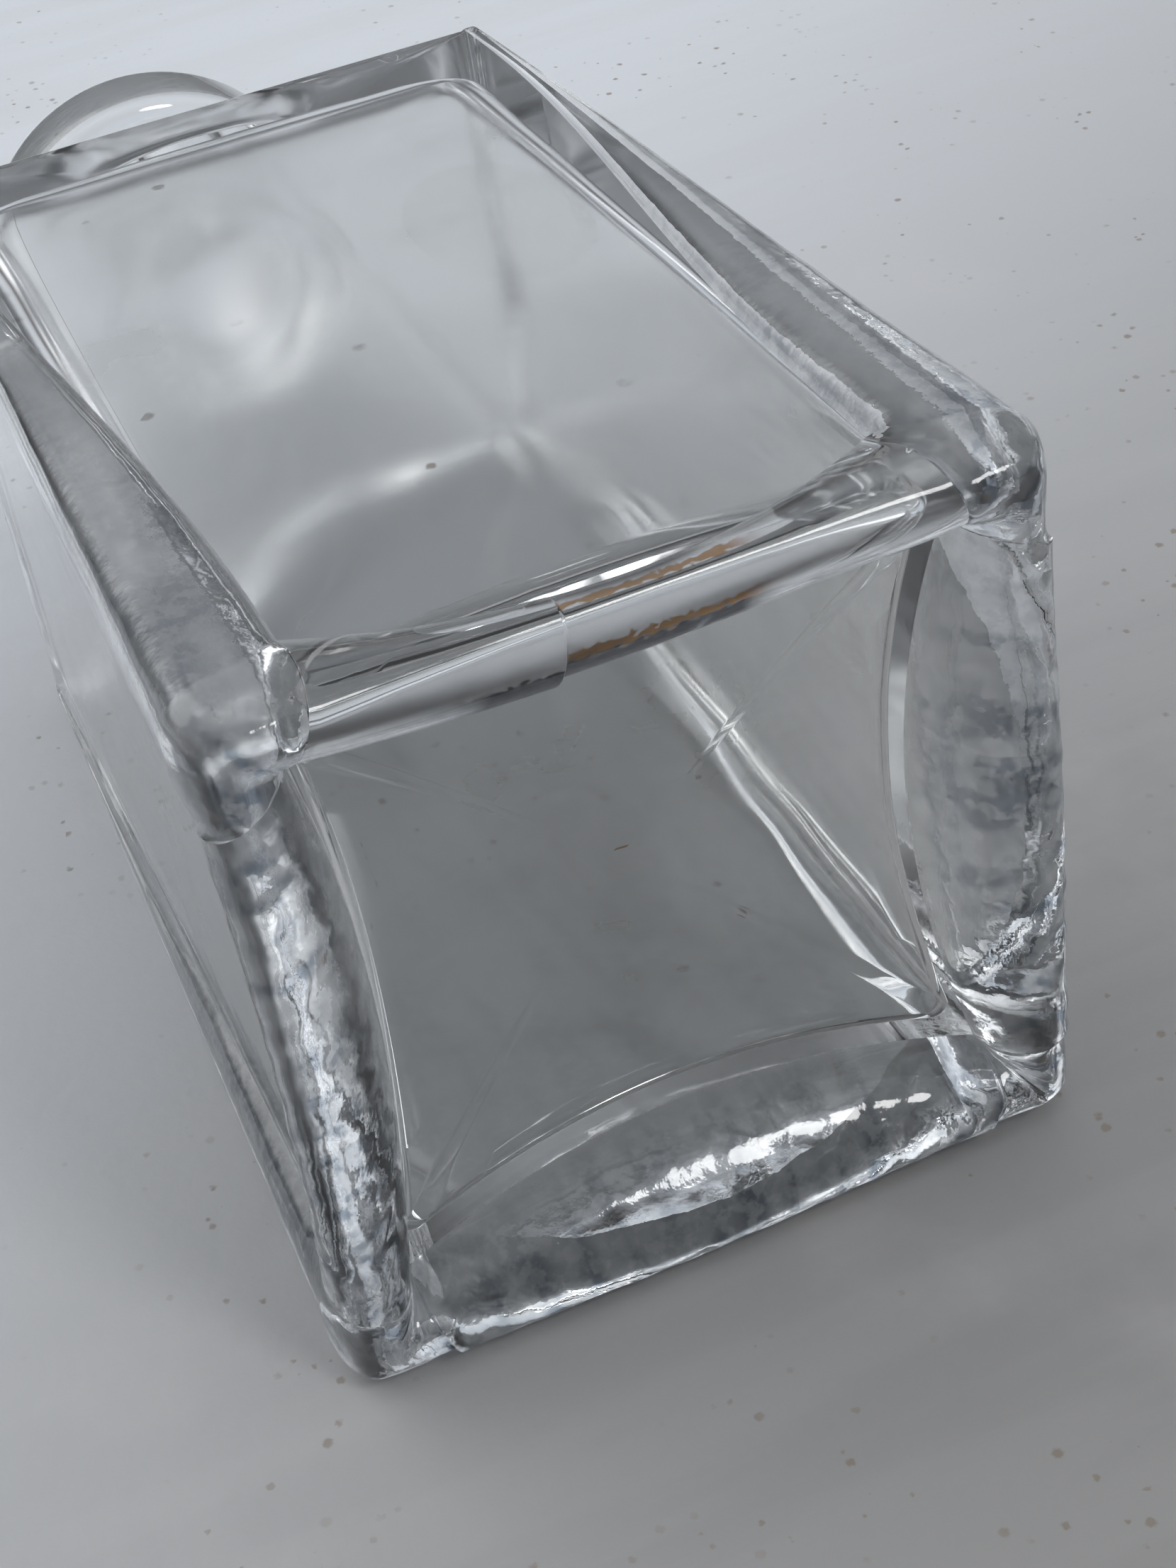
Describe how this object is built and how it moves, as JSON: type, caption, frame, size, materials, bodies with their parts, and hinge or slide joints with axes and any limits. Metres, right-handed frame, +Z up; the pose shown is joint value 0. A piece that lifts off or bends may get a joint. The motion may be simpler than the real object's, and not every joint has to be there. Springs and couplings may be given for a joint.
{
  "type": "paperweight",
  "caption": "Heavy clear pressed-glass square bottle with sunk side panels, a rolled heel and a dished base, lying on one side as a weight, with a ground glass disc-headed stopper.",
  "frame": {"origin": "middle of the bottom of the bounding box, on the surface that the bottle lies on", "axes": "+Z up from the surface, +Y from the heel towards the neck and stopper, +X to the right when looking at the heel's far side along +Y"},
  "size_m": [0.0594, 0.136, 0.0595],
  "materials": {
    "bottle_glass": "fire-polished clear glass, lightly dusty",
    "stopper_glass": "clear polished head, ground frosted plug"
  },
  "bodies": {
    "bottle": {"glass_bottle": "bottle_glass"},
    "stopper": {"glass_stopper": "stopper_glass"}
  },
  "joints": [
    {"name": "stopper_pull", "type": "slide", "parent": "bottle", "child": "stopper", "axis": [0, 0.9994, -0.0339], "range_m": [0, 0.022]}
  ]
}
